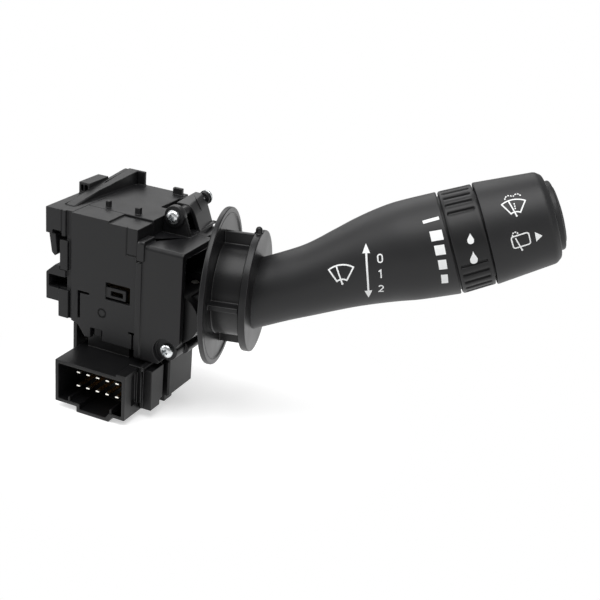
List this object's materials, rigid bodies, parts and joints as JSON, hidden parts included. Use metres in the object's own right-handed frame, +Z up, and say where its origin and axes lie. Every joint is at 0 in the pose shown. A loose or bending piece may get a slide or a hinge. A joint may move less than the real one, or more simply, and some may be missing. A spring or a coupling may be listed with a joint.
{
  "type": "combination stalk switch",
  "caption": "Column wiper stalk switch: cased switch with a pinned socket, flanged collar, waisted grip, knurled thumb ring and end push button.",
  "frame": {"origin": "point on the flat seat on top of the switch case, above the case's middle", "axes": "+X towards the side the stalk leaves, -Y towards the driver, +Z up out of the seat"},
  "size_m": [0.1684, 0.0812, 0.097],
  "materials": {
    "case_plastic": "fine grained dark charcoal moulding",
    "frame_plastic": "fine grained dark charcoal moulding",
    "housing_plastic": "smooth satin black moulding",
    "connector_plastic": "smooth satin black moulding",
    "collar_plastic": "satin dark grey moulding",
    "stalk_plastic": "fine leather-like satin grain",
    "ring_plastic": "satin black moulding",
    "core_plastic": "plain black moulding",
    "inner_plastic": "plain off-white bearing plastic",
    "zinc_steel": "bright zinc plating",
    "spring_steel": "drawn wire",
    "tinned_brass": "brass with tinned tips",
    "contact_brass": "plain pressed brass",
    "board_laminate": "plain brown laminate"
  },
  "bodies": {
    "housing": {"front_cover": "case_plastic", "rear_case": "case_plastic", "guide_frame": "frame_plastic", "lever_housing": "housing_plastic", "pivot_cover": "housing_plastic", "housing_screws": "zinc_steel", "connector_shell": "connector_plastic", "upper_terminals": "tinned_brass", "lower_terminals": "tinned_brass", "contact_board": "board_laminate", "fixed_contacts": "contact_brass", "terminal_cover": "connector_plastic", "detent_plate": "inner_plastic"},
    "rocker": {"rocker": "inner_plastic", "pull_pin": "spring_steel", "detent_plunger": "inner_plastic", "detent_spring": "spring_steel"},
    "slider": {"contact_slider": "inner_plastic"},
    "lever": {"lever_core": "core_plastic", "collar": "collar_plastic", "grip": "stalk_plastic", "head_carrier": "core_plastic", "ring_board": "board_laminate", "end_sleeve": "stalk_plastic", "button_spring": "spring_steel", "button_switch": "inner_plastic"},
    "ring": {"sensitivity_ring": "ring_plastic", "ring_contact": "contact_brass"},
    "button": {"end_button": "stalk_plastic"}
  },
  "joints": [
    {"name": "lever_select", "type": "hinge", "parent": "housing", "child": "rocker", "pos_m": [0.032, -0.01183, -0.02993], "axis": [0, 1, 0], "range_deg": [-5, 14]},
    {"name": "contact_slide", "type": "slide", "parent": "housing", "child": "slider", "axis": [0, 0, 1], "range_m": [-0.0017, 0.0047]},
    {"name": "lever_pull", "type": "hinge", "parent": "rocker", "child": "lever", "pos_m": [0.032, -0.01183, -0.02993], "axis": [0.3867, 0, -0.9222], "range_deg": [0, 8], "stiffness_Nm_per_rad": 1.5, "springref_deg": -2.86},
    {"name": "ring_turn", "type": "hinge", "parent": "lever", "child": "ring", "pos_m": [0.11714, 0.02461, 0.00577], "axis": [0.8578, 0.3672, 0.3597], "range_deg": [-30, 30]},
    {"name": "button_push", "type": "slide", "parent": "lever", "child": "button", "axis": [-0.8578, -0.3672, -0.3597], "range_m": [0, 0.0025], "stiffness_N_per_m": 800, "springref_m": -0.001, "deforming": ["button_spring"]}
  ],
  "couplings": [
    {"joint": "contact_slide", "follows": "lever_select", "m_per_rad": 0.019}
  ]
}
